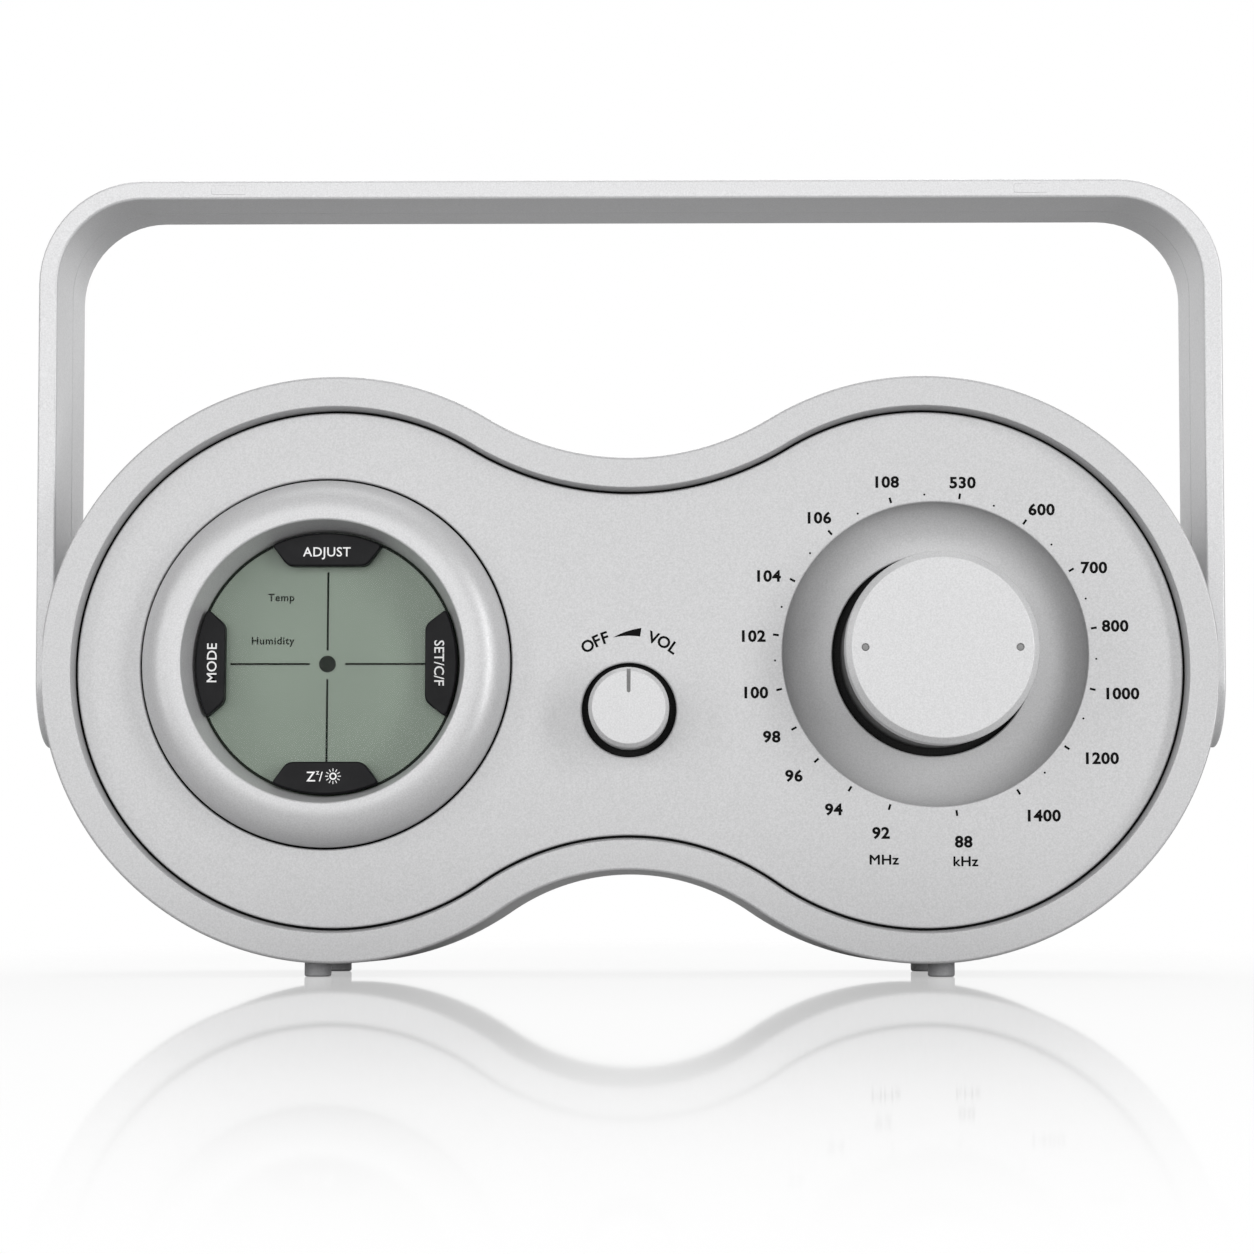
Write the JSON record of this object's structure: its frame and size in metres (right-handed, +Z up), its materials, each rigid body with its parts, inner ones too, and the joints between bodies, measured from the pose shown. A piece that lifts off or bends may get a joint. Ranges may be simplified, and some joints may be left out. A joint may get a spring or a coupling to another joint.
{
  "type": "portable radio",
  "caption": "Portable radio with a figure-of-eight silver case, a round display with buttons, a tuning dial, a volume knob and a swinging carrying handle.",
  "frame": {"origin": "on the surface that the feet stand on, under the middle of the whole object's box", "axes": "+X to the right of someone who faces the front, +Y to the rear, +Z up"},
  "size_m": [0.2496, 0.068, 0.1685],
  "materials": {
    "silver_shell": "satin",
    "silver_panel": "satin",
    "silver_knob": "satin",
    "knob_dot": "matte",
    "black_gloss": "gloss",
    "black_matte": "matte",
    "black_felt": "matte",
    "clear_window": "gloss",
    "lcd_glass": "gloss",
    "white_plastic": "satin",
    "circuit_board": "satin",
    "chip_resin": "matte",
    "capacitor_sleeve": "gloss",
    "tinned_steel": "satin",
    "screw_steel": "satin",
    "aerial_chrome": "polished",
    "pivot_plastic": "matte",
    "ribbon": "satin",
    "ferrite": "matte",
    "coil_wire": "gloss",
    "magnet": "satin",
    "speaker_paper": "matte",
    "rubber": "matte",
    "foot_rubber": "satin",
    "cell_sleeve": "gloss"
  },
  "bodies": {
    "housing": {"front_frame": "silver_shell", "rear_cover": "silver_shell", "front_panel": "silver_panel", "display_bezel": "silver_panel", "earphone_jack": "black_matte", "supply_jack": "black_matte", "battery_box": "black_matte", "tact_switches": "black_matte", "felt_rings": "black_felt", "display_window": "clear_window", "lcd_cell": "lcd_glass", "lcd_backlight": "white_plastic", "rod_clips": "white_plastic", "tuning_capacitor": "white_plastic", "display_board": "circuit_board", "main_board": "circuit_board", "ic_chips": "chip_resin", "electrolytic_capacitors": "capacitor_sleeve", "if_cans": "tinned_steel", "volume_pot": "tinned_steel", "band_switch": "tinned_steel", "battery_contacts": "tinned_steel", "battery_springs": "tinned_steel", "speaker_basket": "tinned_steel", "case_screws": "screw_steel", "board_screws": "screw_steel", "ribbon_cable": "ribbon", "ferrite_rod": "ferrite", "aerial_coil": "coil_wire", "speaker_magnet": "magnet", "speaker_cone": "speaker_paper", "speaker_surround": "rubber", "feet": "foot_rubber", "batteries": "cell_sleeve"},
    "tuner": {"tuner_cap": "silver_knob", "tuner_body": "black_matte", "tuner_dots": "knob_dot", "tuning_shaft": "screw_steel"},
    "volume": {"volume_knob": "silver_knob", "volume_shaft": "screw_steel"},
    "adjust": {"adjust_button": "black_gloss"},
    "mode": {"mode_button": "black_gloss"},
    "set": {"set_button": "black_gloss"},
    "snooze": {"snooze_button": "black_gloss"},
    "band": {"band_slider": "black_matte"},
    "door": {"battery_door": "silver_shell"},
    "handle": {"handle_front_shell": "silver_shell", "handle_rear_shell": "silver_shell", "handle_screw_covers": "silver_shell", "handle_pivots": "pivot_plastic", "pivot_washers": "screw_steel", "pivot_screws": "screw_steel"},
    "aerial": {"aerial_swivel": "aerial_chrome", "aerial_tube_1": "aerial_chrome"},
    "aerial_section_2": {"aerial_tube_2": "aerial_chrome"},
    "aerial_section_3": {"aerial_tube_3": "aerial_chrome"},
    "aerial_end": {"aerial_tip": "aerial_chrome"}
  },
  "joints": [
    {"name": "handle_swing", "type": "hinge", "parent": "housing", "child": "handle", "pos_m": [0, 0.006, 0.0624], "axis": [1, 0, 0], "range_deg": [-113, 107]},
    {"name": "tuner_turn", "type": "hinge", "parent": "housing", "child": "tuner", "pos_m": [0.063, -0.022, 0.0661], "axis": [0, 1, 0], "range_deg": [-97, 74]},
    {"name": "volume_turn", "type": "hinge", "parent": "housing", "child": "volume", "pos_m": [0, -0.022, 0.0545], "axis": [0, 1, 0], "range_deg": [-150, 150]},
    {"name": "adjust_press", "type": "slide", "parent": "housing", "child": "adjust", "axis": [0, 1, 0], "range_m": [0, 0.0006], "stiffness_N_per_m": 1500, "springref_m": -0.0004},
    {"name": "mode_press", "type": "slide", "parent": "housing", "child": "mode", "axis": [0, 1, 0], "range_m": [0, 0.0006], "stiffness_N_per_m": 1500, "springref_m": -0.0004},
    {"name": "set_press", "type": "slide", "parent": "housing", "child": "set", "axis": [0, 1, 0], "range_m": [0, 0.0006], "stiffness_N_per_m": 1500, "springref_m": -0.0004},
    {"name": "snooze_press", "type": "slide", "parent": "housing", "child": "snooze", "axis": [0, 1, 0], "range_m": [0, 0.0006], "stiffness_N_per_m": 1500, "springref_m": -0.0004},
    {"name": "band_slide", "type": "slide", "parent": "housing", "child": "band", "axis": [1, 0, 0], "range_m": [0, 0.006]},
    {"name": "battery_door_hinge", "type": "hinge", "parent": "housing", "child": "door", "pos_m": [-0.0605, 0.032, 0.0867], "axis": [1, 0, 0], "range_deg": [0, 85]},
    {"name": "aerial_swing", "type": "hinge", "parent": "housing", "child": "aerial", "pos_m": [0.072, 0.03, 0.0994], "axis": [0, 1, 0], "range_deg": [0, 170]},
    {"name": "aerial_slide_2", "type": "slide", "parent": "aerial", "child": "aerial_section_2", "axis": [-1, 0, 0], "range_m": [0, 0.1]},
    {"name": "aerial_slide_3", "type": "slide", "parent": "aerial_section_2", "child": "aerial_section_3", "axis": [-1, 0, 0], "range_m": [0, 0.095]},
    {"name": "aerial_slide_4", "type": "slide", "parent": "aerial_section_3", "child": "aerial_end", "axis": [-1, 0, 0], "range_m": [0, 0.09]}
  ]
}
